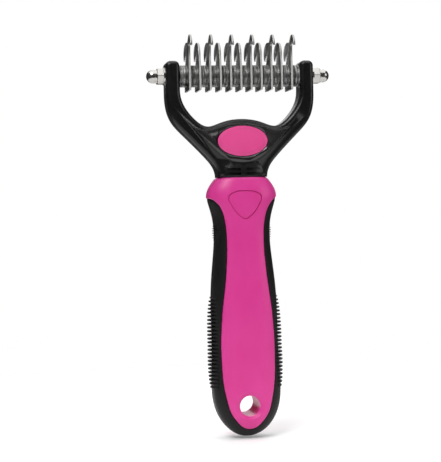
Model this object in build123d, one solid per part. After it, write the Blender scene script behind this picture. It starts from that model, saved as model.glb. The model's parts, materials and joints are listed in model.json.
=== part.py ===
from build123d import *
import os
from math import copysign, cos, pi, sin, sqrt

# Two-sided dematting comb: a keyed rod carries a stack of hooked steel blades and spacer rings between
# the arms of a moulded yoke. Two cap nuts clamp the stack. The yoke's tang is bonded into a two-colour
# handle. Units are millimetres. X runs along the rod, Z from the handle up to the head, and the coarse
# teeth face -Y. The origin is the centre of the hang hole.

# ---- overall places along Z ----
ROD_Z = 143.3  # rod axis above the hang hole
HANDLE_END = -14.0  # lowest point of the handle
NECK_SEAT = 99.1  # where the yoke's shoulder meets the top of the handle

# ---- rod, blades and spacer rings ----
ROD_D = 5.0
ROD_FLATS = 4.0  # across the two flats that key the blades and the arms
THREAD_D = 4.0
THREAD_ENGAGED = 5.0  # length of thread inside a cap nut
BLADE_COUNT = 11
BLADE_PITCH = 4.5
BLADE_T = 0.9
RINGS_PER_GAP = 2
RING_D = 9.6
RING_CHAMFER = 0.25
KEY_CLEARANCE = 0.06
RING_CLEARANCE = 0.08
RING_T = (BLADE_PITCH - BLADE_T) / RINGS_PER_GAP

# Blade profile, measured from the rod axis. The coarse side is -Y.
BLADE_NEAR = 6.4  # edge on the coarse side
BLADE_FAR = 6.1
BLADE_TAIL = 6.5  # tail below the rod axis
BLADE_SHOULDER = 4.6  # height where the stem starts to taper
STEM_FAR = 0.7  # far edge of the stem beside the notch
FINE_TOP = 14.6
FINE_HALF = 5.4  # half depth of a fine tooth's head
FINE_TIP = (6.3, 7.0)
FINE_BULGE = (8.7, 10.8)  # pulls the back of the hook outwards
FINE_NOTCH = (-0.2, 10.2)
NOTCH_R = 0.7
COARSE_TOP = (-8.2, 17.0)
COARSE_TIP = (-12.0, 12.1)
COARSE_NOTCH = (-8.4, 13.5)
TIP_R = 0.35

# ---- cap nuts and washers ----
NUT_FLATS = 6.6
NUT_HEX_H = 2.6
NUT_DOME_D = 5.8
NUT_H = 7.3
NUT_BORE_CLEARANCE = 0.05
WASHER_D = 7.6
WASHER_T = 0.6
WASHER_CLEARANCE = 0.08
SEAT_GAP = 0.05  # between an arm, its washer and its cap nut

# ---- yoke ----
ARM_W = 6.1
ARM_DEPTH = 10.6
ARM_TOP = 6.4  # arm above the rod axis
ARM_CORNER = 2.2
YOKE_EDGE = 1.9  # rounding of the yoke's long edges
ARM_GAP = (BLADE_COUNT - 1) * BLADE_PITCH + BLADE_T + 2 * RINGS_PER_GAP * RING_T
ARM_IN = ARM_GAP / 2
ARM_OUT = ARM_IN + ARM_W
ARM_FOOT_Z = 135.5  # where the arms become straight
NECK_HALF_W = 10.9
NECK_HALF_D = 6.6
NECK_TOP = 114.0  # the neck has faded into the yoke here
FLARE_A = (0.19, 107.6)  # the outer contour: share of the way from the neck out to the arm, height
FLARE_B = (0.66, 118.1)
OPENING_SIDE = (0.90, 128.6)  # the opening's contour: share of half the arm gap, height
HUMP_Z = 124.4  # top of the yoke's bridge, in the middle of the opening
LOBE_X = 16.3
LOBE_Z = 121.6  # lowest points of the opening, each side of the hump
PANEL_PROUD = 0.6  # smooth panel round the inlay
PANEL_EDGE = 0.4
PANEL_RIM = 1.7  # between the panel and the opening
PANEL_HALF_W = 22.0
PANEL_SIDE_Z = 121.0
PANEL_FLANK = (11.2, 109.9)
PANEL_LOW_Z = 105.2
SLOT_DEPTH = 0.8
SLOT_H = 1.1
SLOT_Z = (100.5, 102.5)
SLOT_WEB = 1.3  # half width of the web between the neck slots
SLOT_END = 8.6

TANG_W = 12.0
TANG_T = 6.0
TANG_L = 52.0
TANG_CLEARANCE = 0.05

# ---- oval inlays ----
INLAY_Z = 114.7
INLAY_HALF_W = 10.8
INLAY_HALF_H = 6.4
INLAY_SEAT = 1.4  # depth of the pocket below the panel
INLAY_PROUD = 0.6
INLAY_EDGE = 0.5
INLAY_CLEARANCE = 0.15

# ---- handle ----
END_HALF_W = 15.6  # half width at the palm end
END_W_ROUND = 20.5  # height over which the width rounds off to nothing
END_HALF_D = 9.4
END_D_ROUND = 12.0  # height over which the depth rounds off
END_STEPS = (0.15, 0.9, 2.4, 4.8, 8.4, 13.5, 19.0)  # section heights above the palm end
HOLE_R = 4.5
HOLE_DISH_R = 6.6
HOLE_DISH_DEPTH = 1.2
SECTION_POWER = 2.7  # superellipse exponent of the handle's sections
SECTION_POINTS = 28
GRIP_INSET = 0.35  # the side grip sits this far below the core's surface
GRIP_WALL = 3.2  # thickness of the grip moulded over the core
SHIELD_DEPTH = 0.5
SHIELD_HALF_W = 7.4
SHIELD_TOP_Z = 93.2
SHIELD_SIDE_Z = 90.6
SHIELD_LOW_Z = 80.8

# Stations above the palm end: height, half width, half depth, setback of the section's centre.
STATIONS = (
    (6.5, 15.6, 9.4, 0.3),
    (26.0, 14.6, 10.4, 1.0),
    (46.0, 14.7, 10.9, 1.6),
    (56.0, 14.0, 10.8, 1.9),
    (66.0, 12.8, 10.3, 2.0),
    (74.0, 12.2, 9.9, 2.0),
    (81.0, 12.7, 9.8, 1.8),
    (86.5, 14.3, 9.9, 1.5),
    (90.8, 15.6, 9.8, 1.2),
    (94.6, 14.5, 9.1, 1.0),
    (NECK_SEAT, 11.4, 7.9, 0.8),
)

# Front outline of the core between the side grips: half width at each height.
CORE_LOW_Z = -10.1
CORE_OUTLINE = (
    (6.6, -5.5),
    (10.0, 3.2),
    (11.7, 21.0),
    (11.1, 38.0),
    (8.8, 58.0),
    (8.1, 72.0),
    (8.7, 80.0),
)
CORE_FLARE = ((10.3, 85.6), (12.4, 88.5), (14.8, 90.2), (18.5, 91.4))

# Rib fields on each side grip: lowest rib, number, pitch, thickness, height at the middle.
PALM_RIBS = (8.0, 25, 1.62, 0.8, 2.2)
FINGER_RIBS = (72.0, 7, 1.0, 0.45, 1.0)
RIB_HALF_D = 6.4


def on_rod(shape, x=0.0):
    """Places a shape built round the local Z axis on the rod axis, from x towards +X."""
    return Pos(x, 0, ROD_Z) * Rot(0, 90, 0) * shape


def keyed_disc(diameter, flats, length):
    """A cylinder along Z with two flats that face +X and -X before it is placed."""
    return extrude(Circle(diameter / 2) & Rectangle(flats, diameter), length)


# ---- metal ----
def make_rod():
    keyed = ARM_OUT - 0.6
    thread = ARM_OUT + WASHER_T + THREAD_ENGAGED
    core = on_rod(keyed_disc(ROD_D, ROD_FLATS, 2 * keyed), -keyed)
    ends = on_rod(chamfer(Cylinder(THREAD_D / 2, 2 * thread).edges(), 0.4))
    return core + ends


def blade_profile(coarse):
    """The outline of one blade in its own plane: first coordinate towards +Y, second towards +Z."""
    tip_y, tip_z = FINE_TIP
    notch_y, notch_z = FINE_NOTCH
    top = (0.2, FINE_TOP)
    lines = [Polyline((-BLADE_NEAR, 0), (-BLADE_NEAR, -BLADE_TAIL), (BLADE_FAR, -BLADE_TAIL), (BLADE_FAR, 3.0))]
    stem_low = (STEM_FAR + 2.0, notch_z - 4.4)
    stem = Spline((BLADE_FAR, 3.0), stem_low, (STEM_FAR, notch_z - 2.2), (notch_y, notch_z - NOTCH_R))
    arch_end = (notch_y + 2 * NOTCH_R, notch_z - NOTCH_R * 0.7)
    arch = ThreePointArc(stem @ 1, (notch_y + NOTCH_R * 0.7, notch_z), arch_end)
    inner = Spline(arch @ 1, ((notch_y + tip_y) / 2, (notch_z + tip_z) / 2), (tip_y - TIP_R, tip_z))
    nose = ThreePointArc(inner @ 1, (tip_y, tip_z - 0.05), (tip_y + TIP_R, tip_z + TIP_R))
    back = Bezier(nose @ 1, FINE_BULGE, (FINE_HALF, FINE_TOP), top)
    lines += [stem, arch, inner, nose, back]
    near = (-BLADE_NEAR, BLADE_SHOULDER)
    if coarse:
        lines += coarse_hook(top)
    else:
        lines.append(Bezier(top, (-FINE_HALF, FINE_TOP), (-BLADE_NEAR + 0.4, FINE_TOP - 4.5), near))
    lines.append(Line(lines[-1] @ 1, (-BLADE_NEAR, 0)))
    return make_face([edge for line in lines for edge in line.edges()])


def coarse_hook(top):
    """The edges of a coarse tooth, from the top of the fine one to the blade's near edge."""
    tip_y, tip_z = COARSE_TIP
    saddle = (COARSE_TOP[0] + 4.6, FINE_TOP - 0.3)
    over = Spline(top, saddle, COARSE_TOP, tangents=((-1, 0), (-1, 0.1)))
    back_side = (tip_y + 0.9, (COARSE_TOP[1] + tip_z) / 2 + 0.9)
    back = Spline(COARSE_TOP, back_side, (tip_y - TIP_R, tip_z + TIP_R), tangents=((-1, 0.1), (-0.1, -1)))
    nose = ThreePointArc(back @ 1, (tip_y, tip_z - 0.05), (tip_y + TIP_R, tip_z))
    under = Spline(nose @ 1, COARSE_NOTCH, (-BLADE_NEAR, COARSE_NOTCH[1] - 2.2), tangents=((0.5, 1), (0, -1)))
    return [over, back, nose, under]


def make_blade(index):
    """Blades with an even index carry a tooth on both sides, the others only the fine one."""
    x = (index - (BLADE_COUNT - 1) / 2) * BLADE_PITCH
    face = blade_profile(index % 2 == 0)
    key = Circle(ROD_D / 2 + KEY_CLEARANCE) & Rectangle(ROD_D * 2, ROD_FLATS + 2 * KEY_CLEARANCE)
    plate = extrude(face - key, BLADE_T)
    plane = Plane(origin=(x - BLADE_T / 2, 0, ROD_Z), x_dir=(0, 1, 0), z_dir=(1, 0, 0))
    return plane * plate


def make_ring(gap, place):
    """Ring `place` in the gap before blade `gap`; gap BLADE_COUNT follows the last blade."""
    x = -ARM_IN + gap * BLADE_PITCH + place * RING_T
    ring = chamfer(Cylinder(RING_D / 2, RING_T).edges(), RING_CHAMFER)
    ring -= Cylinder(ROD_D / 2 + RING_CLEARANCE, RING_T)
    return on_rod(ring, x + RING_T / 2)


def end_of_rod(shape, side):
    """Mirrors a shape made for the +X end of the rod onto the -X end."""
    return shape if side == "right" else mirror(shape, about=Plane.YZ)


def make_washer(side):
    ring = Cylinder(WASHER_D / 2, WASHER_T) - Cylinder(THREAD_D / 2 + WASHER_CLEARANCE, WASHER_T)
    return end_of_rod(on_rod(ring, ARM_OUT + SEAT_GAP + WASHER_T / 2), side)


def make_nut(side):
    seat = ARM_OUT + 2 * SEAT_GAP + WASHER_T
    prism = extrude(RegularPolygon(NUT_FLATS / 2, 6, major_radius=False, rotation=30), NUT_HEX_H)
    corner_cone = Pos(0, 0, NUT_HEX_H / 2) * Cone(NUT_FLATS / 2 + 1.5, NUT_FLATS / 2 - 0.1, NUT_HEX_H * 1.4)
    radius = NUT_DOME_D / 2
    dome = Pos(0, 0, NUT_H / 2) * Cylinder(radius, NUT_H)
    dome = fillet(dome.edges().sort_by(Axis.Z)[-1], radius * 0.86)
    nut = (prism & corner_cone) + dome
    bore = Cylinder(THREAD_D / 2 + NUT_BORE_CLEARANCE, 2 * (THREAD_ENGAGED + 0.4))
    return end_of_rod(on_rod(nut - bore, seat), side)


# ---- yoke ----
def share(pair, inner, outer):
    return (inner + pair[0] * (outer - inner), pair[1])


def half_outline():
    """The +X half of the yoke's front outline, as a face in X and Z."""
    outer = Spline(
        (NECK_HALF_W, NECK_SEAT),
        share(FLARE_A, NECK_HALF_W, ARM_OUT),
        share(FLARE_B, NECK_HALF_W, ARM_OUT),
        (ARM_OUT, ARM_FOOT_Z),
        tangents=((0.05, 1), (0, 1)),
    )
    top = ROD_Z + ARM_TOP
    arm = Polyline(outer @ 1, (ARM_OUT, top), (ARM_IN, top), (ARM_IN, ARM_FOOT_Z + 2))
    opening = opening_line(0)
    close = Polyline(opening @ 1, (0, NECK_SEAT), (NECK_HALF_W, NECK_SEAT))
    face = make_face([edge for line in (outer, arm, opening, close) for edge in line.edges()])
    corners = face.vertices().group_by(Axis.Y)[-1]
    return fillet(corners, ARM_CORNER)


def opening_line(rim):
    """The lower contour of the opening from the arm to the middle, moved `rim` into the yoke."""
    side = share(OPENING_SIDE, 0, ARM_IN)
    return Spline(
        (ARM_IN + rim, ARM_FOOT_Z + 2),
        (side[0] + rim * 0.9, side[1] - rim * 0.4),
        (LOBE_X, LOBE_Z - rim),
        (0, HUMP_Z - rim),
        tangents=((0, -1), (-1, 0)),
    )


def panel_face():
    """Outline of the smooth panel round the inlay."""
    side = (PANEL_HALF_W, PANEL_SIDE_Z)
    low = Spline((0, PANEL_LOW_Z), PANEL_FLANK, side, tangents=((1, 0), (0.72, 0.7)))
    lobe = (LOBE_X, LOBE_Z - PANEL_RIM)
    high = Spline(side, lobe, (0, HUMP_Z - PANEL_RIM), tangents=((-0.8, -0.35), (-1, 0)))
    middle = Line(high @ 1, low @ 0)
    half = make_face([edge for line in (low, high, middle) for edge in line.edges()])
    return half + mirror(half, about=Plane.YZ)


def front_and_back(shape):
    """A shape made on the -Y side, together with its mirror image on the +Y side."""
    return shape + mirror(shape, about=Plane.XZ)


def superellipse(half_w, half_d, z, setback):
    """A handle section in a horizontal plane."""
    points = []
    for step in range(SECTION_POINTS):
        angle = 2 * pi * step / SECTION_POINTS
        x = copysign(abs(cos(angle)) ** (2 / SECTION_POWER), cos(angle)) * half_w
        y = copysign(abs(sin(angle)) ** (2 / SECTION_POWER), sin(angle)) * half_d
        points.append((x, y + setback, z))
    return make_face(Spline(*points, periodic=True))


def upright(face):
    """Stands a face drawn in X and Y up in the X, Z plane."""
    return Rot(90, 0, 0) * face


def make_yoke():
    half = half_outline()
    outline = upright(half + mirror(half, about=Plane.YZ))
    plate = extrude(outline, ARM_DEPTH / 2, both=True)
    rims = plate.edges().filter_by(lambda edge: abs(edge.center().Y) > ARM_DEPTH / 2 - 0.01)
    yoke = fillet(rims, YOKE_EDGE)
    neck = loft([
        superellipse(NECK_HALF_W, NECK_HALF_D, NECK_SEAT, 0),
        superellipse(NECK_HALF_W + 0.5, NECK_HALF_D, (NECK_SEAT * 3 + NECK_TOP) / 4, 0),
        superellipse(NECK_HALF_W + 1.0, ARM_DEPTH / 2 + 0.1, (NECK_SEAT + NECK_TOP) / 2, 0),
        superellipse(NECK_HALF_W, ARM_DEPTH / 2 - 0.6, NECK_TOP, 0),
    ])
    yoke += neck
    yoke += Pos(0, 0, NECK_SEAT - TANG_L / 2) * Box(TANG_W, TANG_T, TANG_L + 2)
    panel = extrude(upright(panel_face()), ARM_DEPTH / 2 + PANEL_PROUD)
    panel = chamfer(panel.faces().sort_by(Axis.Y)[0].edges(), PANEL_EDGE)
    yoke += front_and_back(panel)
    pocket = extrude(inlay_face(INLAY_CLEARANCE), 20)
    yoke -= front_and_back(Pos(0, -inlay_floor(), 0) * pocket)
    slot_w = SLOT_END - SLOT_WEB
    for z in SLOT_Z:
        for side in (-1, 1):
            x = side * (SLOT_WEB + slot_w / 2)
            slot = Pos(x, -NECK_HALF_D - 2 + SLOT_DEPTH, z) * Box(slot_w, 4, SLOT_H)
            yoke -= front_and_back(slot)
    bore = keyed_disc(ROD_D + 2 * KEY_CLEARANCE, ROD_FLATS + 2 * KEY_CLEARANCE, 4 * ARM_OUT)
    return yoke - on_rod(bore, -2 * ARM_OUT)


# ---- inlays ----
def inlay_floor():
    return ARM_DEPTH / 2 + PANEL_PROUD - INLAY_SEAT


def inlay_face(clearance):
    return Pos(0, 0, INLAY_Z) * upright(Ellipse(INLAY_HALF_W + clearance, INLAY_HALF_H + clearance))


def make_inlay(side):
    inlay = extrude(inlay_face(0), INLAY_SEAT + INLAY_PROUD)
    inlay = fillet(inlay.faces().sort_by(Axis.Y)[0].edges(), INLAY_EDGE)
    inlay = Pos(0, -inlay_floor(), 0) * inlay
    return inlay if side == "front" else mirror(inlay, about=Plane.XZ)


# ---- handle ----
def handle_solid(inset):
    """The handle's outer form, moved inwards by `inset`."""
    sections = []
    setback_0 = STATIONS[0][3]
    for height in END_STEPS:
        across = 1 - min(height / END_W_ROUND, 1)
        deep = 1 - min(height / END_D_ROUND, 1)
        half_w = END_HALF_W * sqrt(1 - across**2) - inset
        half_d = END_HALF_D * sqrt(1 - deep**2) - inset
        z = HANDLE_END + height
        if half_d > 0.4 and half_w > 0.4:
            sections.append(superellipse(half_w, half_d, z, setback_0 * (height / END_W_ROUND)))
    for height, half_w, half_d, setback in STATIONS:
        sections.append(superellipse(half_w - inset, half_d - inset, height, setback))
    return loft(sections)


def core_outline():
    side = Spline((0, CORE_LOW_Z), *CORE_OUTLINE, tangents=((1, 0), (0.16, 1)))
    flare = Spline(CORE_OUTLINE[-1], *CORE_FLARE)
    over = NECK_SEAT + 5
    close = Polyline(flare @ 1, (CORE_FLARE[-1][0], over), (0, over), (0, CORE_LOW_Z))
    half = make_face([edge for line in (side, flare, close) for edge in line.edges()])
    return upright(half + mirror(half, about=Plane.YZ))


def shield_face():
    side = (SHIELD_HALF_W, SHIELD_SIDE_Z)
    top = Spline((0, SHIELD_TOP_Z), (SHIELD_HALF_W - 2.4, SHIELD_TOP_Z - 0.5), side, tangents=((1, 0), (0, -1)))
    flank = Spline(side, (2.6, SHIELD_LOW_Z + 1.4), (0, SHIELD_LOW_Z), tangents=((0, -1), (-1, 0)))
    half = make_face([edge for line in (top, flank, Line(flank @ 1, top @ 0)) for edge in line.edges()])
    return upright(half + mirror(half, about=Plane.YZ))


def make_core(outer, inner):
    sides = outer - extrude(core_outline(), 30, both=True)
    core = outer - (sides - inner)
    hollow = Box(TANG_W + 2 * TANG_CLEARANCE, TANG_T + 2 * TANG_CLEARANCE, 2 * TANG_L + 2 * TANG_CLEARANCE + 2)
    core -= Pos(0, 0, NECK_SEAT) * hollow
    core -= extrude(shield_face(), 30) - handle_solid(SHIELD_DEPTH)
    core -= Rot(90, 0, 0) * Cylinder(HOLE_R, 60)
    dish_h = 2 * HOLE_DISH_DEPTH
    dish = Cone(HOLE_R, 2 * HOLE_DISH_R - HOLE_R, dish_h)
    for side in (-1, 1):
        surface = hole_surface(side)
        core -= Pos(0, surface, 0) * Rot(side * -90, 0, 0) * dish
    return core


def hole_surface(side):
    """Where the handle's surface crosses the hang hole's axis."""
    height = -HANDLE_END
    deep = 1 - min(height / END_D_ROUND, 1)
    return side * END_HALF_D * sqrt(1 - deep**2) + 0.3


def rib_rows():
    """Height, thickness and reach of every rib on one side."""
    for lowest, count, pitch, thick, reach in (PALM_RIBS, FINGER_RIBS):
        for step in range(count):
            along = 2 * (step + 0.5) / count - 1
            yield lowest + step * pitch, thick, reach * sqrt(max(1 - along**2, 0.04))


def station_at(z):
    """Half width and setback of the handle at a height, between two stations."""
    for low, high in zip(STATIONS, STATIONS[1:]):
        if low[0] <= z <= high[0]:
            part = (z - low[0]) / (high[0] - low[0])
            return low[1] + part * (high[1] - low[1]), low[3] + part * (high[3] - low[3])
    return STATIONS[0][1], STATIONS[0][3]


def make_grip(grip_outer, inner):
    grip = grip_outer - extrude(core_outline(), 30, both=True) - inner
    ribs = []
    for z, thick, reach in rib_rows():
        half_w, setback = station_at(z)
        out = half_w - GRIP_INSET + reach
        for side in (-1, 1):
            # Each rib is a slice of a cylinder wide enough to end inside the grip.
            sag = reach + 1.6
            radius = (RIB_HALF_D**2 + sag**2) / (2 * sag)
            disc = Pos(side * (out - radius), setback, z) * Cylinder(radius, thick)
            keep = Pos(side * (out - sag + 30), setback, z) * Box(60, 40, thick * 2)
            ribs.append(disc & keep)
    return grip.fuse(*ribs).clean()


def main():
    os.makedirs("parts", exist_ok=True)
    nodes = {"blade_rod": make_rod(), "yoke": make_yoke()}
    inner = handle_solid(GRIP_WALL)
    nodes["handle_core"] = make_core(handle_solid(0), inner)
    nodes["soft_grip"] = make_grip(handle_solid(GRIP_INSET), inner)
    for side in ("front", "rear"):
        nodes[f"{side}_oval_inlay"] = make_inlay(side)
    for side in ("left", "right"):
        nodes[f"{side}_washer"] = make_washer(side)
        nodes[f"{side}_cap_nut"] = make_nut(side)
    for index in range(BLADE_COUNT):
        nodes[f"blade_{index + 1:02d}"] = make_blade(index)
    for gap in range(BLADE_COUNT + 1):
        for place in range(RINGS_PER_GAP):
            number = gap * RINGS_PER_GAP + place + 1
            nodes[f"spacer_{number:02d}"] = make_ring(gap, place)
    for name, shape in nodes.items():
        export_step(shape, f"parts/{name}.step")


if __name__ == "__main__":
    main()
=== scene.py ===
import bmesh
import bpy
import json
from math import cos, pi, radians, sin, sqrt
from mathutils import Matrix, Vector


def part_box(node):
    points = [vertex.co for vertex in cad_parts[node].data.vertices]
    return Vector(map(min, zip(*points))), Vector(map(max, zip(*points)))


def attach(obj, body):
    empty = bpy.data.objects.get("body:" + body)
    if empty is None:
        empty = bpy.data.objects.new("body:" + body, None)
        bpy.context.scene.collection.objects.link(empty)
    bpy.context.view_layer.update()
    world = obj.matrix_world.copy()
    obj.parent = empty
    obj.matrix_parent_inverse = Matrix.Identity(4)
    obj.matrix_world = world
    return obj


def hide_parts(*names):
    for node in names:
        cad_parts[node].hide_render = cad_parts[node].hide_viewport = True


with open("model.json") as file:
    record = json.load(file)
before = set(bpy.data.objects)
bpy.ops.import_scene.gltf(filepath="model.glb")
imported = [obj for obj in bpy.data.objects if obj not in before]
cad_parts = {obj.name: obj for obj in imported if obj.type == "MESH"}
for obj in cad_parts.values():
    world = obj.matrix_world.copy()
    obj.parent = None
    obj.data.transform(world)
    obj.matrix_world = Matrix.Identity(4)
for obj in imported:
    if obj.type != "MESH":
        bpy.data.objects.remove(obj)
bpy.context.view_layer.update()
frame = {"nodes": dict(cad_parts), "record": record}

nodes = frame["nodes"]
print("frame loaded,", len(nodes), "nodes")


class Signal:
    # a shader socket that can be used in sums
    def __init__(self, tree, socket):
        self.tree = tree
        self.socket = socket

    def maths(self, operation, *others):
        node = self.tree.nodes.new("ShaderNodeMath")
        node.operation = operation
        self.tree.links.new(self.socket, node.inputs[0])
        for place, other in enumerate(others, 1):
            if isinstance(other, Signal):
                self.tree.links.new(other.socket, node.inputs[place])
            else:
                node.inputs[place].default_value = other
        return Signal(self.tree, node.outputs[0])

    def __add__(self, other):
        return self.maths("ADD", other)

    def __mul__(self, other):
        return self.maths("MULTIPLY", other)

    def __sub__(self, other):
        return self.maths("SUBTRACT", other)

    def __rsub__(self, other):
        return self * -1 + other

    def clamp(self):
        return self.maths("MAXIMUM", 0.0).maths("MINIMUM", 1.0)


class Finish:
    # one material with a Principled shader, and a short way to add nodes
    def __init__(self, name):
        self.material = bpy.data.materials.new(name)
        self.material.use_nodes = True
        self.tree = self.material.node_tree
        self.tree.nodes.clear()
        self.output = self.tree.nodes.new("ShaderNodeOutputMaterial")
        self.shader = self.tree.nodes.new("ShaderNodeBsdfPrincipled")
        self.tree.links.new(self.shader.outputs[0], self.output.inputs["Surface"])
        place = self.add("ShaderNodeTexCoord")
        self.place = Signal(self.tree, place.outputs["Object"])
        self.geometry = self.add("ShaderNodeNewGeometry")

    def add(self, kind, settings=None, **inputs):
        node = self.tree.nodes.new(kind)
        for key, value in (settings or {}).items():
            if key == "stops":
                self.setStops(node.color_ramp, value)
            else:
                setattr(node, key, value)
        for key, value in inputs.items():
            self.feed(node, key.replace("_", " "), value)
        return node

    def setStops(self, ramp, stops):
        while len(ramp.elements) < len(stops):
            ramp.elements.new(0.5)
        for element, (position, colour) in zip(ramp.elements, stops):
            element.position = position
            element.color = colour if len(colour) == 4 else (*colour, 1)

    def feed(self, node, key, value):
        socket = next(s for s in node.inputs if s.name == key and s.enabled)
        if isinstance(value, Signal):
            self.tree.links.new(value.socket, socket)
        elif isinstance(value, bpy.types.NodeSocket):
            self.tree.links.new(value, socket)
        else:
            socket.default_value = value

    def set(self, **inputs):
        for key, value in inputs.items():
            self.feed(self.shader, key.replace("_", " "), value)

    def stretched(self, scale):
        # object coordinates, squeezed or stretched along each axis
        node = self.add("ShaderNodeMapping", {"vector_type": "POINT"}, Vector=self.place, Scale=scale)
        return Signal(self.tree, node.outputs[0])

    def noise(self, scale, detail=3.0, roughness=0.5, vector=None):
        node = self.add("ShaderNodeTexNoise", {"noise_dimensions": "3D"},
                        Vector=vector or self.place, Scale=scale, Detail=detail, Roughness=roughness)
        return Signal(self.tree, node.outputs["Fac"])

    def between(self, factor, low, high):
        # a colour from low to high
        node = self.add("ShaderNodeMix", {"data_type": "RGBA"})
        colours = [s for s in node.inputs if s.type == "RGBA"]
        self.tree.links.new(factor.socket, node.inputs[0])
        for socket, colour in zip(colours, (low, high)):
            if isinstance(colour, Signal):
                self.tree.links.new(colour.socket, socket)
            else:
                socket.default_value = (*colour, 1)
        return Signal(self.tree, next(s for s in node.outputs if s.type == "RGBA"))

    def bump(self, height, distance, strength):
        node = self.add("ShaderNodeBump", None, Height=height, Distance=distance, Strength=strength)
        return Signal(self.tree, node.outputs[0])

    def wear(self):
        # rises from 0 on flat faces to 1 on sharp outer corners, where handling rubs
        pointiness = Signal(self.tree, self.geometry.outputs["Pointiness"])
        return ((pointiness - 0.5) * 8.0).clamp()


pinkSettings = {
    "colour": (0.668, 0.037, 0.262),
    "faded": (0.708, 0.052, 0.306),
    "ovalColour": (0.800, 0.070, 0.285),
    "ovalFaded": (0.830, 0.096, 0.330),
    "roughness": 0.36,
    "mottle": 60.0,  # soft colour drift, per metre
    "flow": 220.0,  # long marks along the handle, where the plastic flowed
    "scuffs": 900.0,
    "grain": 2600.0,
}


def pinkPlastic(name, colour, faded):
    finish = Finish(name)
    drift = finish.noise(pinkSettings["mottle"], 2.0)
    flow = finish.noise(pinkSettings["flow"], 4.0, 0.6, finish.stretched((1.0, 1.0, 0.3)))
    tone = (drift * 0.7 + flow * 0.3 - 0.3) * 2.4
    finish.set(Base_Color=finish.between(tone.clamp(), colour, faded))
    grain = finish.noise(pinkSettings["grain"], 2.0)
    scuffs = finish.noise(pinkSettings["scuffs"], 6.0, 0.7, finish.stretched((1.0, 1.0, 0.12)))
    finish.set(Roughness=grain * 0.08 + scuffs * 0.10 + (pinkSettings["roughness"] - 0.09))
    height = grain * 0.6 + drift * 0.4
    finish.set(Normal=finish.bump(height, 0.00005, 0.5))
    finish.set(IOR=1.49, Specular_IOR_Level=0.36, Subsurface_Weight=0.06, Subsurface_Scale=0.003)
    finish.shader.inputs["Subsurface Radius"].default_value = (1.0, 0.35, 0.5)
    return finish.material


blackSettings = {
    "colour": (0.0022, 0.0022, 0.0024),
    "worn": (0.0065, 0.0065, 0.0072),
    # the panel's lighter colours are painted sheen on the same black plastic
    "panel": (0.0105, 0.0098, 0.0098),
    "panelSheenPale": (0.0180, 0.0168, 0.0168),
    "roughness": 0.22,
    "pits": 1500.0,  # moulded texture, per metre
    "spark": 0.32,  # and its strength
    "polish": 0.15,
    "scuffs": 700.0,
}


def blackPlastic():
    finish = Finish("blackPlastic")
    pits = finish.add("ShaderNodeTexVoronoi", {"feature": "F1"}, Vector=finish.place,
                      Scale=blackSettings["pits"])
    pits = Signal(finish.tree, pits.outputs["Distance"])
    cloud = finish.noise(90.0, 3.0)
    wear = finish.wear()
    tone = (cloud * 0.5 + wear * 0.8).clamp()
    finish.set(Base_Color=finish.between(tone, blackSettings["colour"], blackSettings["worn"]))
    finish.set(Roughness=cloud * 0.10 + pits * 0.08 + blackSettings["roughness"])
    finish.set(Normal=finish.bump(pits, 0.00006, blackSettings["spark"]))
    finish.set(IOR=1.5, Specular_IOR_Level=0.42)
    return finish.material


def sheenPanelPlastic():
    # the same plastic, polished smooth round the ovals, its colour lifted to a lighter grey as painted
    # sheen
    finish = Finish("sheenPanelPlastic")
    cloud = finish.noise(70.0, 3.0)
    scuffs = finish.noise(blackSettings["scuffs"], 5.0, 0.7, finish.stretched((1.0, 1.0, 0.2)))
    # painted sheen: the panel's black is lifted to a lighter grey, mottled by cloud noise
    finish.set(Base_Color=finish.between(cloud, blackSettings["panel"], blackSettings["panelSheenPale"]))
    finish.set(Roughness=cloud * 0.06 + scuffs * 0.08 + blackSettings["polish"])
    finish.set(Normal=finish.bump(scuffs, 0.00002, 0.3))
    finish.set(IOR=1.5, Specular_IOR_Level=0.65)
    return finish.material


rubberSettings = {
    "colour": (0.0034, 0.0031, 0.0031),
    "worn": (0.0085, 0.0078, 0.0078),
    "roughness": 0.38,
    "grain": 3200.0,  # matt grain, per metre
    "grip": 0.55,  # and its strength
}


def gripRubber():
    finish = Finish("gripRubber")
    grain = finish.noise(rubberSettings["grain"], 3.0, 0.6)
    cloud = finish.noise(120.0, 3.0)
    wear = finish.wear()
    tone = (cloud * 0.6 + wear * 0.5).clamp()
    finish.set(Base_Color=finish.between(tone, rubberSettings["colour"], rubberSettings["worn"]))
    finish.set(Roughness=grain * 0.12 + cloud * 0.08 + rubberSettings["roughness"])
    finish.set(Normal=finish.bump(grain, 0.00005, rubberSettings["grip"]))
    finish.set(IOR=1.48, Specular_IOR_Level=0.26)
    return finish.material


bladeFinish = {
    "face": (0.16, 0.16, 0.157),
    "faceWorn": (0.36, 0.36, 0.35),
    "edge": (0.74, 0.74, 0.72),  # the ground edges, lighter than the faces: partly real grind, partly painted highlight, most of all below the hooks
    "edgeSheenTop": 0.1540,  # above this, on the hooks, the edges get less painted highlight
    "glow": 0.55,  # share of the edge that scatters light like a fine grind, which brightens its painted highlight
    "grind": 2400.0,
    "roughness": 0.21,
}


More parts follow.
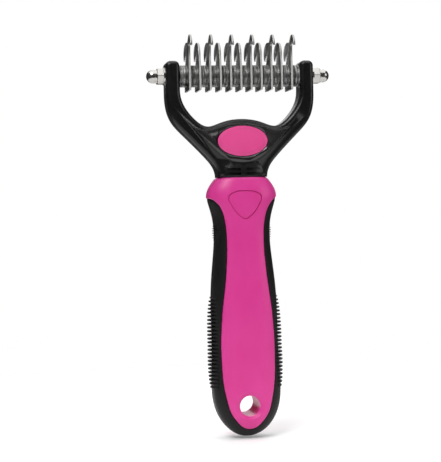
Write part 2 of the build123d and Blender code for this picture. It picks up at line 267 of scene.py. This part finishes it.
def bladeSteel():
    finish = Finish("bladeSteel")
    grind = finish.noise(bladeFinish["grind"], 4.0, 0.6, finish.stretched((0.3, 1.0, 0.08)))
    stain = finish.noise(160.0, 4.0, 0.6)
    tone = (grind * 0.6 + stain * 0.5 - 0.15).clamp()
    # painted highlight and painted shade: surfaces that don't face along X, the plates' edges, take the
    # light edge colour and less metal, while the flat faces stay dark; up on the hooks this drops to a
    # fifth. The light edges are partly real grind.
    facing = finish.add("ShaderNodeSeparateXYZ", None, Vector=finish.geometry.outputs["Normal"])
    sideways = Signal(finish.tree, facing.outputs["X"]).maths("ABSOLUTE")
    height = finish.add("ShaderNodeSeparateXYZ", None, Vector=finish.place)
    shank = ((bladeFinish["edgeSheenTop"] - Signal(finish.tree, height.outputs["Z"])) * 300.0).clamp()
    edge = ((0.86 - sideways) * 5.0).clamp() * (shank * 0.8 + 0.2)
    face = finish.between(tone, bladeFinish["face"], bladeFinish["faceWorn"])
    finish.set(Base_Color=finish.between(edge, face, bladeFinish["edge"]))
    finish.set(Metallic=1 - edge * bladeFinish["glow"])
    finish.set(Roughness=grind * 0.20 + stain * 0.10 + bladeFinish["roughness"])
    finish.set(Normal=finish.bump(grind, 0.00003, 0.45))
    return finish.material


turnedFinish = {
    "dark": (0.055, 0.055, 0.054),
    "light": (0.52, 0.52, 0.51),
    "fine": 5200.0,  # fine tool marks, per metre
    "coarse": 1500.0,
    "roughness": 0.27,
}


def turnedSteel():
    finish = Finish("turnedSteel")
    across = finish.stretched((1.0, 0.01, 0.01))
    fine = finish.noise(turnedFinish["fine"], 3.0, 0.7, across)
    coarse = finish.noise(turnedFinish["coarse"], 2.0, 0.6, across)
    stain = finish.noise(260.0, 4.0, 0.65)
    tone = (fine * 0.8 + coarse * 2.2 + stain * 0.2 - 1.18).clamp()
    finish.set(Base_Color=finish.between(tone, turnedFinish["dark"], turnedFinish["light"]))
    finish.set(Metallic=1.0, Roughness=fine * 0.15 + stain * 0.15 + turnedFinish["roughness"])
    finish.set(Normal=finish.bump(fine * 0.3 + coarse * 0.7, 0.00005, 0.35))
    return finish.material


nickelFinish = {
    "dark": (0.36, 0.352, 0.335),
    "light": (0.60, 0.588, 0.562),
    "polish": 3000.0,  # polishing marks, per metre
    "roughness": 0.14,
}


def nickelPlate():
    finish = Finish("nickelPlate")
    polish = finish.noise(nickelFinish["polish"], 3.0, 0.6, finish.stretched((1.0, 0.15, 0.15)))
    stain = finish.noise(300.0, 3.0)
    tone = (polish * 0.5 + stain * 0.6 - 0.1).clamp()
    finish.set(Base_Color=finish.between(tone, nickelFinish["dark"], nickelFinish["light"]))
    finish.set(Metallic=1.0, Roughness=polish * 0.08 + stain * 0.06 + nickelFinish["roughness"])
    finish.set(Normal=finish.bump(polish, 0.00002, 0.35))
    return finish.material


rodFinish = {
    "dark": (0.36, 0.36, 0.35),
    "light": (0.62, 0.62, 0.61),
    "drawn": 3600.0,  # drawing marks, per metre
    "roughness": 0.20,
}


def rodSteel():
    finish = Finish("rodSteel")
    drawn = finish.noise(rodFinish["drawn"], 3.0, 0.6, finish.stretched((0.04, 1.0, 1.0)))
    stain = finish.noise(240.0, 3.0)
    tone = (drawn * 0.6 + stain * 0.5 - 0.1).clamp()
    finish.set(Base_Color=finish.between(tone, rodFinish["dark"], rodFinish["light"]))
    finish.set(Metallic=1.0, Roughness=drawn * 0.15 + stain * 0.1 + rodFinish["roughness"])
    finish.set(Normal=finish.bump(drawn, 0.00003, 0.4))
    return finish.material


sheenPanelFinish = sheenPanelPlastic()
ovalFinish = pinkPlastic("ovalPlastic", pinkSettings["ovalColour"], pinkSettings["ovalFaded"])
finishes = {
    "pink_plastic": pinkPlastic("pinkPlastic", pinkSettings["colour"], pinkSettings["faded"]),
    "black_plastic": blackPlastic(),
    "black_rubber": gripRubber(),
    "blade_steel": bladeSteel(),
    "turned_steel": turnedSteel(),
    "bright_steel": rodSteel(),
    "nickel_plate": nickelPlate(),
}
slotOf = {part["node"]: part["material_slot"] for part in frame["record"]["subparts"]}
for name, node in nodes.items():
    node.data.materials.clear()
    node.data.materials.append(finishes[slotOf[name]])
print("finishes made")


def clearSelection():
    if bpy.context.object and bpy.context.object.mode != "OBJECT":
        bpy.ops.object.mode_set(mode="OBJECT")
    bpy.ops.object.select_all(action="DESELECT")


def activate(piece):
    clearSelection()
    piece.select_set(True)
    bpy.context.view_layer.objects.active = piece


def pick(kind, test):
    # selects faces, edges or verts of the piece in edit mode by their place or normal
    bpy.ops.mesh.select_mode(type={"faces": "FACE", "edges": "EDGE", "verts": "VERT"}[kind])
    bpy.ops.mesh.select_all(action="DESELECT")
    shape = bmesh.from_edit_mesh(bpy.context.edit_object.data)
    for item in getattr(shape, kind):
        item.select_set(bool(test(item)))
    bmesh.update_edit_mesh(bpy.context.edit_object.data)


def middle(item):
    return sum((v.co for v in item.verts), Vector()) / len(item.verts)


def useModifier(piece, kind, **settings):
    activate(piece)
    modifier = piece.modifiers.new(kind.lower(), kind)
    for key, value in settings.items():
        setattr(modifier, key, value)
    bpy.ops.object.modifier_apply(modifier=modifier.name)


def cut(piece, tool, operation="DIFFERENCE"):
    # a boolean with a tool piece, which is then thrown away
    useModifier(piece, "BOOLEAN", object=tool, operation=operation, solver="EXACT")
    bpy.data.objects.remove(tool)


def settle(piece):
    # puts the place into the mesh, so the object is left at the origin
    activate(piece)
    bpy.ops.object.transform_apply(location=True, rotation=True, scale=True)


def copyOf(piece, name):
    twin = piece.copy()
    twin.data = piece.data.copy()
    twin.name = name
    bpy.context.scene.collection.objects.link(twin)
    return twin


def dress(piece, finish, body, *replaced):
    # the last step of every piece: smooth shading, faces turned outwards, its finish and its body
    activate(piece)
    bpy.ops.object.shade_smooth_by_angle(angle=radians(38))
    piece.data.materials.clear()
    piece.data.materials.append(finishes[finish])
    bpy.ops.object.mode_set(mode="EDIT")
    bpy.ops.mesh.select_all(action="SELECT")
    bpy.ops.mesh.dissolve_degenerate(threshold=0.00001)
    bpy.ops.mesh.select_all(action="SELECT")
    bpy.ops.mesh.normals_make_consistent(inside=False)
    shape = bmesh.from_edit_mesh(piece.data)
    if shape.calc_volume(signed=True) < 0:
        bpy.ops.mesh.flip_normals()
    bpy.ops.object.mode_set(mode="OBJECT")
    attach(piece, body)
    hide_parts(*replaced)


def soften(piece, voxel, rounds):
    # moulded parts have no knife edges: even quads, then a light smoothing
    useModifier(piece, "REMESH", mode="VOXEL", voxel_size=voxel, adaptivity=0.0)
    useModifier(piece, "SMOOTH", factor=0.5, iterations=rounds)


def flatShape(name, points, reach):
    # a closed smooth outline in X and Z, made into a prism that runs reach each way along Y
    curve = bpy.data.curves.new(name, "CURVE")
    curve.dimensions = "2D"
    curve.fill_mode = "BOTH"
    curve.extrude = reach
    curve.resolution_u = 10
    spline = curve.splines.new("BEZIER")
    spline.bezier_points.add(len(points) - 1)
    for point, (x, z, corner) in zip(spline.bezier_points, points):
        point.co = (x, z, 0)
        point.handle_left_type = point.handle_right_type = "VECTOR" if corner else "AUTO"
    spline.use_cyclic_u = True
    prism = bpy.data.objects.new(name, curve)
    bpy.context.scene.collection.objects.link(prism)
    prism.rotation_euler = (pi / 2, 0, 0)
    activate(prism)
    bpy.ops.object.convert(target="MESH")
    settle(prism)
    bpy.ops.object.mode_set(mode="EDIT")
    bpy.ops.mesh.select_all(action="SELECT")
    bpy.ops.mesh.remove_doubles(threshold=0.000001)
    bpy.ops.mesh.normals_make_consistent(inside=False)
    bpy.ops.object.mode_set(mode="OBJECT")
    return prism


def mirrored(points):
    # the other half of an outline that starts and ends on the middle line
    return points + [(-x, z, corner) for x, z, corner in reversed(points) if x > 0]


handleShape = {
    "palmEnd": -0.0140,
    "endHalfWidth": 0.0156,
    "endHalfDepth": 0.0094,
    "endWidthRound": 0.0205,
    "endDepthRound": 0.0120,
    "endSetback": 0.0003,
    "endSteps": (0.00012, 0.0006, 0.0016, 0.0032, 0.0055, 0.0090, 0.0138),
    "cornerShare": 0.77,  # roundness of the section
    "capInset": 0.0012,
    "leastHalfSize": 0.0004,
    # height, half width, half depth, setback
    "stations": (
        (0.0065, 0.0156, 0.0094, 0.0003), (0.0160, 0.0151, 0.0099, 0.0006),
        (0.0260, 0.0146, 0.0104, 0.0010), (0.0360, 0.0147, 0.0108, 0.0013),
        (0.0460, 0.0147, 0.0109, 0.0016), (0.0560, 0.0140, 0.0108, 0.0019),
        (0.0660, 0.0128, 0.0103, 0.0020), (0.0740, 0.0122, 0.0099, 0.0020),
        (0.0810, 0.0127, 0.0098, 0.0018), (0.0865, 0.0143, 0.0099, 0.0015),
        (0.0908, 0.0157, 0.0098, 0.0012), (0.0946, 0.0145, 0.0091, 0.0010),
        (0.0972, 0.0127, 0.0083, 0.0009), (0.0991, 0.0112, 0.0077, 0.0008)),
    # half outline of the coloured front: across, height, corner
    "front": [
        (0.0, -0.0101, False), (0.0066, -0.0055, False), (0.0100, 0.0032, False), (0.0117, 0.0210, False),
        (0.0111, 0.0380, False), (0.0088, 0.0580, False), (0.0081, 0.0720, False), (0.0087, 0.0800, False),
        (0.0103, 0.0856, False), (0.0124, 0.0885, False), (0.0148, 0.0902, False), (0.0185, 0.0912, True),
        (0.0185, 0.1040, True)],
    "thumbRest": [
        (0.0, 0.0932, False), (0.0050, 0.0926, False), (0.0074, 0.0904, False), (0.0062, 0.0868, False),
        (0.0028, 0.0823, False), (0.0, 0.0808, False)],
    "restDepth": 0.00030,
    "restMiddle": 0.0885,
    "moatDepth": 0.00058,  # a fine groove runs round the rest
    "moatShare": 0.94,
    "gripInset": 0.00035,
    "tang": (0.0121, 0.0061, 0.04605, 0.110),  # width, depth, bottom, top
    "voxel": 0.00036,
    "rounds": 7,  # smoothing after the remesh
}


def handleForm(name, inset):
    # the whole handle's form, drawn up ring by ring from the palm end
    shape = handleShape
    rings = []
    for step in shape["endSteps"]:
        wide = 1 - min(step / shape["endWidthRound"], 1)
        deep = 1 - min(step / shape["endDepthRound"], 1)
        rings.append((shape["palmEnd"] + step, shape["endHalfWidth"] * sqrt(1 - wide * wide),
                      shape["endHalfDepth"] * sqrt(1 - deep * deep),
                      shape["endSetback"] * step / shape["endWidthRound"]))
    rings += shape["stations"]
    least = inset + shape["leastHalfSize"]
    rings = [(z, w - inset, d - inset, back) for z, w, d, back in rings if min(w, d) > least]
    clearSelection()
    z, wide, deep, back = rings[0]
    bpy.ops.mesh.primitive_plane_add(size=2.0, location=(0, 0, 0))
    form = bpy.context.object
    form.name = name
    bpy.ops.object.mode_set(mode="EDIT")
    bpy.ops.mesh.bevel(offset=shape["cornerShare"], segments=8, affect="VERTICES")
    bpy.ops.mesh.select_all(action="SELECT")
    bpy.ops.transform.resize(value=(wide, deep, 1), center_override=(0, 0, 0))
    bpy.ops.transform.translate(value=(0, back, z))
    for nextZ, nextWide, nextDeep, nextBack in rings[1:]:
        bpy.ops.mesh.extrude_region_move(TRANSFORM_OT_translate={"value": (0, nextBack - back, nextZ - z)})
        bpy.ops.transform.resize(value=(nextWide / wide, nextDeep / deep, 1),
                                 center_override=(0, nextBack, nextZ))
        z, wide, deep, back = nextZ, nextWide, nextDeep, nextBack
    bpy.ops.mesh.inset(thickness=shape["capInset"])
    bpy.ops.mesh.select_all(action="SELECT")
    bpy.ops.mesh.normals_make_consistent(inside=False)
    bpy.ops.object.mode_set(mode="OBJECT")
    useModifier(form, "SUBSURF", levels=2, render_levels=2)
    return form


hangHole = {
    "radius": 0.0045,
    "length": 0.0164,
    "middle": 0.0003,  # how far back the bore's middle lies
    "dishRadius": 0.0068,
    "dishDepth": 0.0013,
    "clear": 0.0060,  # the cutting tool runs on this far past the dish
    "flare": 1.6,
}


def holeTool():
    # a straight bore that opens into a shallow dish at each face
    shape = hangHole
    clearSelection()
    bpy.ops.mesh.primitive_cylinder_add(vertices=64, radius=shape["radius"], depth=shape["length"],
                                        location=(0, shape["middle"], 0), rotation=(pi / 2, 0, 0))
    tool = bpy.context.object
    settle(tool)
    bpy.ops.object.mode_set(mode="EDIT")
    grow = shape["dishRadius"] / shape["radius"]
    for side in (-1, 1):
        pick("faces", lambda face: face.normal.y * side > 0.9)
        for length, widen in ((shape["dishDepth"], grow), (shape["clear"], shape["flare"])):
            bpy.ops.mesh.extrude_region_move(TRANSFORM_OT_translate={"value": (0, side * length, 0)})
            bpy.ops.transform.resize(value=(widen, 1, widen), center_override=(0, 0, 0))
    bpy.ops.object.mode_set(mode="OBJECT")
    return tool


def shrunk(prism, name, share):
    # a copy of the thumb rest's prism, smaller about its middle and a little longer
    twin = copyOf(prism, name)
    twin.scale = (share, 1.3 - 0.2 * share, share)
    twin.location.z = handleShape["restMiddle"] * (1 - share)
    settle(twin)
    return twin


def tangPocket():
    # room for the yoke's tang
    wide, deep, bottom, top = handleShape["tang"]
    clearSelection()
    bpy.ops.mesh.primitive_cube_add(size=1.0, location=(0, 0, (bottom + top) / 2))
    pocket = bpy.context.object
    pocket.scale = (wide, deep, top - bottom)
    settle(pocket)
    return pocket


def makeCore():
    core = handleForm("handleCore", 0.0)
    cut(core, flatShape("frontPrism", mirrored(handleShape["front"]), 0.03), "INTERSECT")
    soften(core, handleShape["voxel"], handleShape["rounds"])
    moat = flatShape("moat", mirrored(handleShape["thumbRest"]), 0.02)
    moat.location.y = -0.02
    settle(moat)
    share = handleShape["moatShare"]
    island = shrunk(moat, "island", share)
    rest = shrunk(moat, "rest", (1 + share) / 2)
    cut(moat, island)
    cut(moat, handleForm("moatFloor", handleShape["moatDepth"]))
    cut(rest, handleForm("restFloor", handleShape["restDepth"]))
    cut(core, moat)
    cut(core, rest)
    cut(core, holeTool())
    cut(core, tangPocket())
    dress(core, "pink_plastic", "tool", "handle_core")
    print("handle core made,", len(core.data.polygons), "faces")


gripRibs = {
    "palm": (0.0080, 25, 0.00162, 0.00066, 0.0022),  # lowest, count, pitch, thickness, reach
    "finger": (0.0720, 7, 0.00100, 0.00045, 0.0010),
    "halfDepth": 0.0064,
    "root": 0.0016,  # how deep each fin is let into the grip
    "rimRound": 0.22,  # rounding of a fin's rim, as a share of its thickness
    "lean": 0.006,  # the fins aren't quite square to the handle
    "voxel": 0.00034,
}


def halfWidthAt(z):
    # half width and setback of the handle at a height
    stations = handleShape["stations"]
    for low, high in zip(stations, stations[1:]):
        if low[0] <= z <= high[0]:
            part = (z - low[0]) / (high[0] - low[0])
            return low[1] + part * (high[1] - low[1]), low[3] + part * (high[3] - low[3])


def makeRib(thick, reach):
    # one fin: the outer slice of a disc, with its rim rounded
    sag = reach + gripRibs["root"]
    radius = (gripRibs["halfDepth"] ** 2 + sag ** 2) / (2 * sag)
    clearSelection()
    bpy.ops.mesh.primitive_cylinder_add(vertices=96, radius=radius, depth=thick, location=(-radius, 0, 0))
    rib = bpy.context.object
    settle(rib)
    bpy.ops.object.mode_set(mode="EDIT")
    bpy.ops.mesh.select_all(action="SELECT")
    bpy.ops.mesh.bisect(plane_co=(-sag, 0, 0), plane_no=(-1, 0, 0), use_fill=True, clear_outer=True)
    pick("edges", lambda edge: edge.verts[0].co.z * edge.verts[1].co.z > 0 and edge.calc_face_angle(0) > 1.2
         and middle(edge).x > -sag + 0.0001)
    bpy.ops.mesh.bevel(offset=thick * gripRibs["rimRound"], segments=2, affect="EDGES")
    bpy.ops.object.mode_set(mode="OBJECT")
    return rib


def makeGrip():
    grip = handleForm("softGrip", handleShape["gripInset"])
    cut(grip, flatShape("gripPrism", mirrored(handleShape["front"]), 0.03))
    soften(grip, gripRibs["voxel"], handleShape["rounds"])
    ribs = []
    for lowest, count, pitch, thick, reach in (gripRibs["palm"], gripRibs["finger"]):
        for step in range(count):
            along = 2 * (step + 0.5) / count - 1
            out = reach * sqrt(max(1 - along * along, 0.04))
            z = lowest + step * pitch
            wide, back = halfWidthAt(z)
            first = makeRib(thick, out)
            for side in (-1, 1):
                fin = first if side == 1 else copyOf(first, "rib")
                fin.rotation_euler = (gripRibs["lean"], 0, 0 if side == 1 else pi)
                fin.location = (side * (wide - handleShape["gripInset"] + out), back, z)
                settle(fin)
                ribs.append(fin)
    activate(ribs[0])
    for fin in ribs:
        fin.select_set(True)
    bpy.ops.object.join()
    cut(grip, ribs[0], "UNION")
    dress(grip, "black_rubber", "tool", "soft_grip")
    print("soft grip made,", len(grip.data.polygons), "faces")


ovalInlay = {
    "height": 0.1147,
    "halfWidth": 0.0108,
    "halfHeight": 0.0064,
    "back": 0.0045,  # from the middle plane to the pocket's floor
    "wall": 0.00155,
    "rim": 0.00045,
    "domeSteps": (0.0008, 0.0012, 0.0016, 0.0016),  # each inset of the crown
    "domeRise": (0.00010, 0.00008, 0.00005, 0.00002),
}


def makeInlay(name, side, node):
    shape = ovalInlay
    centre = (0, side * (shape["back"] + shape["wall"] / 2), shape["height"])
    front = shape["back"] + shape["wall"] * 0.9
    clearSelection()
    bpy.ops.mesh.primitive_cylinder_add(vertices=96, radius=1.0, depth=shape["wall"], location=centre,
                                        rotation=(pi / 2, 0, 0))
    inlay = bpy.context.object
    inlay.name = name
    inlay.scale = (shape["halfWidth"], shape["halfHeight"], 1)
    settle(inlay)
    bpy.ops.object.mode_set(mode="EDIT")
    pick("edges", lambda edge: all(abs(vert.co.y) > front for vert in edge.verts))
    bpy.ops.mesh.bevel(offset=shape["rim"], segments=4, affect="EDGES")
    pick("faces", lambda face: face.normal.y * side > 0.98 and abs(middle(face).y) > front)
    for width, rise in zip(shape["domeSteps"], shape["domeRise"]):
        bpy.ops.mesh.inset(thickness=width, depth=rise)
    bpy.ops.object.mode_set(mode="OBJECT")
    dress(inlay, "pink_plastic", "tool", node)
    inlay.data.materials[0] = ovalFinish


spacerRing = {
    "radius": 0.0048,
    "bore": 0.00258,
    "chamfer": 0.00022,
    "groove": 0.972,  # how far each turned groove goes in
    "cuts": 7,
    "turn": 1.7,
}


def makeRing():
    shape = spacerRing
    low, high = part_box("spacer_01")
    thick = high.x - low.x
    centre = (low + high) / 2
    clearSelection()
    bpy.ops.mesh.primitive_cylinder_add(vertices=72, radius=shape["radius"], depth=thick, location=centre,
                                        rotation=(0, pi / 2, 0))
    ring = bpy.context.object
    ring.name = "spacerRing"
    settle(ring)
    bpy.ops.object.mode_set(mode="EDIT")
    pick("edges", lambda edge: abs(edge.verts[0].co.x - edge.verts[1].co.x) > thick * 0.9)
    bpy.ops.mesh.subdivide(number_cuts=shape["cuts"])
    gap = thick / (shape["cuts"] + 1)
    for place in (1, 3, 5, 7):
        x = low.x + gap * place
        pick("verts", lambda vert: abs(vert.co.x - x) < gap * 0.2)
        depth = shape["groove"] if place in (3, 5) else (shape["groove"] + 1) / 2
        bpy.ops.transform.resize(value=(1, depth, depth), center_override=centre)
    pick("faces", lambda face: abs(face.normal.x) > 0.9)
    bpy.ops.mesh.inset(thickness=shape["radius"] - shape["bore"])
    bpy.ops.mesh.bridge_edge_loops()
    pick("edges", lambda edge: abs(edge.verts[0].co.x - edge.verts[1].co.x) < 0.00001
         and min(abs(edge.verts[0].co.x - low.x), abs(edge.verts[0].co.x - high.x)) < 0.00001
         and (middle(edge) - centre).yz.length > shape["radius"] * 0.98)
    bpy.ops.mesh.bevel(offset=shape["chamfer"], segments=2, affect="EDGES")
    bpy.ops.mesh.select_all(action="SELECT")
    bpy.ops.mesh.normals_make_consistent(inside=False)
    bpy.ops.object.mode_set(mode="OBJECT")
    return ring, centre


def makeRings():
    ring, centre = makeRing()
    names = sorted(name for name in nodes if name.startswith("spacer_"))
    for place, node in enumerate(names):
        low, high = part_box(node)
        piece = copyOf(ring, "ring" + node[-2:])
        # each ring sits a little further round the rod than the last
        turn = Matrix.Rotation(place * spacerRing["turn"], 4, "X")
        piece.matrix_world = Matrix.Translation((low + high) / 2) @ turn @ Matrix.Translation(-centre)
        settle(piece)
        dress(piece, "turned_steel", "tool", node)
    bpy.data.objects.remove(ring)
    print("spacer rings made,", len(names))


bladeBevel = {
    "ground": 0.00014,  # width of the ground edge
    "steps": 2,
    "sharp": 55,  # only corners sharper than this, in degrees, are ground
}


def fromNode(node, name, flatten):
    # a copy of a node's mesh with its loose triangles joined up, and merged where they turn less
    # than flatten degrees
    piece = bpy.data.objects.new(name, nodes[node].data.copy())
    bpy.context.scene.collection.objects.link(piece)
    activate(piece)
    bpy.ops.mesh.customdata_custom_splitnormals_clear()
    bpy.ops.object.mode_set(mode="EDIT")
    bpy.ops.mesh.select_all(action="SELECT")
    bpy.ops.mesh.remove_doubles(threshold=0.000002)
    bpy.ops.mesh.dissolve_limited(angle_limit=radians(flatten))
    bpy.ops.object.mode_set(mode="OBJECT")
    return piece


def makeBlades():
    names = sorted(name for name in nodes if name.startswith("blade_") and name != "blade_rod")
    for node in names:
        blade = fromNode(node, "toothed" + node[-2:], 0.5)
        useModifier(blade, "BEVEL", width=bladeBevel["ground"], segments=bladeBevel["steps"],
                    limit_method="ANGLE", angle_limit=radians(bladeBevel["sharp"]))
        dress(blade, "blade_steel", "tool", node)
    print("blades ground,", len(names))


yokeShape = {
    "edge": 0.00030,  # rounding left by the mould on every corner above the neck
    "neckTop": 0.1040,
    "steps": 3,
    "sharp": 0.7,  # radians
    # outline of the polished panel that takes the painted sheen: across, height
    "panel": ((0.0, 0.1228), (0.0070, 0.1212), (0.0135, 0.1193), (0.0175, 0.1196), (0.0225, 0.1212),
              (0.0165, 0.1152), (0.0112, 0.1099), (0.0060, 0.1068), (0.0, 0.1052)),
}


def insidePanel(x, z):
    # counts the sides of the outline that lie to the right of the point
    corners = [Vector(corner) for corner in yokeShape["panel"]]
    corners += [Vector((-corner.x, corner.y)) for corner in reversed(corners[1:-1])]
    inside = False
    for a, b in zip(corners, corners[1:] + corners[:1]):
        if (a.y > z) != (b.y > z) and x < (b.x - a.x) * (z - a.y) / (b.y - a.y) + a.x:
            inside = not inside
    return inside


def makeYoke():
    yoke = fromNode("yoke", "mouldedYoke", 0.05)
    bpy.ops.object.mode_set(mode="EDIT")
    pick("edges", lambda edge: edge.calc_face_angle(0) > yokeShape["sharp"]
         and middle(edge).z > yokeShape["neckTop"])
    bpy.ops.mesh.bevel(offset=yokeShape["edge"], segments=yokeShape["steps"], affect="EDGES",
                       clamp_overlap=True)
    bpy.ops.object.mode_set(mode="OBJECT")
    dress(yoke, "black_plastic", "tool", "yoke")
    yoke.data.materials.append(sheenPanelFinish)
    # faces inside the panel outline take the panel's painted sheen
    for face in yoke.data.polygons:
        if abs(face.normal.y) > 0.9 and insidePanel(face.center.x, face.center.z):
            face.material_index = 1
    print("yoke made,", len(yoke.data.polygons), "faces")


capNut = {
    "acrossFlats": 0.0066,
    "hexHeight": 0.0026,
    "domeRadius": 0.0029,
    "length": 0.0073,
    "edge": 0.00022,  # width of the turned face's chamfer, and its height
    "edgeHeight": 0.00018,
    "cornerRound": 0.00012,
    "sunk": 0.0004,  # how far the dome's foot goes into the hexagon
}


def makeNut(side, node, body):
    shape = capNut
    low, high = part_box(node)
    seat = high.x if side < 0 else low.x
    height = (low.z + high.z) / 2
    clearSelection()
    bpy.ops.mesh.primitive_cylinder_add(vertices=6, radius=shape["acrossFlats"] / sqrt(3),
                                        depth=shape["hexHeight"],
                                        location=(seat + side * shape["hexHeight"] / 2, 0, height),
                                        rotation=(0, pi / 2, 0))
    nut = bpy.context.object
    nut.name = node + "Chrome"
    # the hexagon is turned as the node's own is
    if high.y - low.y < high.z - low.z:
        nut.rotation_euler = (pi / 6, pi / 2, 0)
    settle(nut)
    bpy.ops.object.mode_set(mode="EDIT")
    pick("edges", lambda edge: abs(edge.verts[0].co.x - edge.verts[1].co.x) > 0.001)
    bpy.ops.mesh.bevel(offset=shape["cornerRound"], segments=2, affect="EDGES")
    pick("faces", lambda face: face.normal.x * side > 0.9)
    bpy.ops.mesh.inset(thickness=shape["edge"])
    bpy.ops.transform.translate(value=(side * shape["edgeHeight"], 0, 0))
    bpy.ops.object.mode_set(mode="OBJECT")
    # the dome is a sphere's half, drawn out to a short barrel
    clearSelection()
    ball = (seat + side * (shape["length"] - shape["domeRadius"]), 0, height)
    bpy.ops.mesh.primitive_uv_sphere_add(segments=64, ring_count=32, radius=shape["domeRadius"],
                                         location=ball, rotation=(0, pi / 2, 0))
    dome = bpy.context.object
    settle(dome)
    bpy.ops.object.mode_set(mode="EDIT")
    bpy.ops.mesh.select_all(action="SELECT")
    bpy.ops.mesh.bisect(plane_co=ball, plane_no=(-side, 0, 0), clear_outer=True)
    pick("edges", lambda edge: edge.is_boundary)
    reach = shape["length"] - shape["domeRadius"] - shape["hexHeight"] + shape["sunk"]
    bpy.ops.mesh.extrude_region_move(TRANSFORM_OT_translate={"value": (-side * reach, 0, 0)})
    bpy.ops.mesh.edge_face_add()
    bpy.ops.mesh.select_all(action="SELECT")
    bpy.ops.mesh.normals_make_consistent(inside=False)
    bpy.ops.object.mode_set(mode="OBJECT")
    cut(nut, dome, "UNION")
    dress(nut, "nickel_plate", body, node)


makeCore()
makeGrip()
makeInlay("ovalFront", -1, "front_oval_inlay")
makeInlay("ovalRear", 1, "rear_oval_inlay")
makeRings()
makeBlades()
makeYoke()
makeNut(-1, "left_cap_nut", "left_nut_body")
makeNut(1, "right_cap_nut", "right_nut_body")
print("pieces made")


studio = {
    "floorZ": -0.0145,
    "floorRadius": 0.30,
    "floorLow": (0.88, 0.88, 0.88),
    "floorHigh": (0.92, 0.92, 0.92),
    "wall": 1.0,  # brightness of the plain surroundings as the camera sees them
    "bounce": 0.06,  # the same surroundings as the object sees them
}


def addFloor():
    bpy.ops.object.select_all(action="DESELECT")
    bpy.ops.mesh.primitive_circle_add(vertices=64, radius=studio["floorRadius"], fill_type="NGON",
                                      location=(0, 0, studio["floorZ"]))
    floor = bpy.context.object
    floor.name = "floor"
    paint = Finish("floorPaint")
    cloud = paint.noise(3.0, 2.0)
    paint.set(Base_Color=paint.between(cloud, studio["floorLow"], studio["floorHigh"]), Roughness=0.9,
              Emission_Color=(1, 1, 1, 1), Emission_Strength=0.15)
    floor.data.materials.append(paint.material)


def addWorld():
    world = bpy.data.worlds.new("studio")
    bpy.context.scene.world = world
    world.use_nodes = True
    tree = world.node_tree
    tree.nodes.clear()
    path = tree.nodes.new("ShaderNodeLightPath")
    strength = tree.nodes.new("ShaderNodeMapRange")
    strength.inputs["To Min"].default_value = studio["bounce"]
    strength.inputs["To Max"].default_value = studio["wall"]
    shade = tree.nodes.new("ShaderNodeBackground")
    shade.inputs["Color"].default_value = (1, 1, 1, 1)
    out = tree.nodes.new("ShaderNodeOutputWorld")
    tree.links.new(path.outputs["Is Camera Ray"], strength.inputs["Value"])
    tree.links.new(strength.outputs[0], shade.inputs["Strength"])
    tree.links.new(shade.outputs[0], out.inputs["Surface"])


softboxes = {
    "aim": (0, 0, 0.07),
    # name, place, size in metres, power in watts
    "all": (
        ("keySoftbox", (-0.50, -0.75, 0.95), 0.6, 8.4),
        ("fillSoftbox", (0.85, -0.65, 0.35), 0.5, 1.9),
        ("topSoftbox", (0.0, 0.0, 1.0), 1.5, 12.0),
        ("backSoftbox", (0.3, 0.9, 0.5), 0.8, 3.4)),
}


def addLight(name, place, size, power):
    data = bpy.data.lights.new(name, "AREA")
    data.shape = "RECTANGLE"
    data.size = size
    data.size_y = size
    data.energy = power
    lamp = bpy.data.objects.new(name, data)
    bpy.context.scene.collection.objects.link(lamp)
    lamp.location = place
    aim = Vector(softboxes["aim"]) - Vector(place)
    lamp.rotation_euler = aim.to_track_quat("-Z", "Y").to_euler()


cameraView = {
    "distance": 0.6,
    "yaw": 10.5,  # degrees, as are the lift and the roll
    "lift": 0.4,
    "roll": -1.44,
    "target": (-0.0097, 0.0, 0.0759),
    "lens": 107.27,
    "sensor": 36.0,
}


def addCamera():
    data = bpy.data.cameras.new("camera")
    camera = bpy.data.objects.new("camera", data)
    bpy.context.scene.collection.objects.link(camera)
    data.sensor_width = cameraView["sensor"]
    data.lens = cameraView["lens"]
    data.clip_start = 0.01
    data.clip_end = 50.0
    yaw = radians(cameraView["yaw"])
    lift = radians(cameraView["lift"])
    back = Vector((-sin(yaw) * cos(lift), -cos(yaw) * cos(lift), sin(lift)))
    camera.location = Vector(cameraView["target"]) + back * cameraView["distance"]
    roll = Matrix.Rotation(radians(cameraView["roll"]), 3, "Z")
    camera.rotation_euler = ((-back).to_track_quat("-Z", "Y").to_matrix() @ roll).to_euler()
    bpy.context.scene.camera = camera


addFloor()
addWorld()
for name, place, size, power in softboxes["all"]:
    addLight(name, place, size, power)
addCamera()
bpy.context.scene.view_settings.view_transform = "Standard"
print("studio ready")
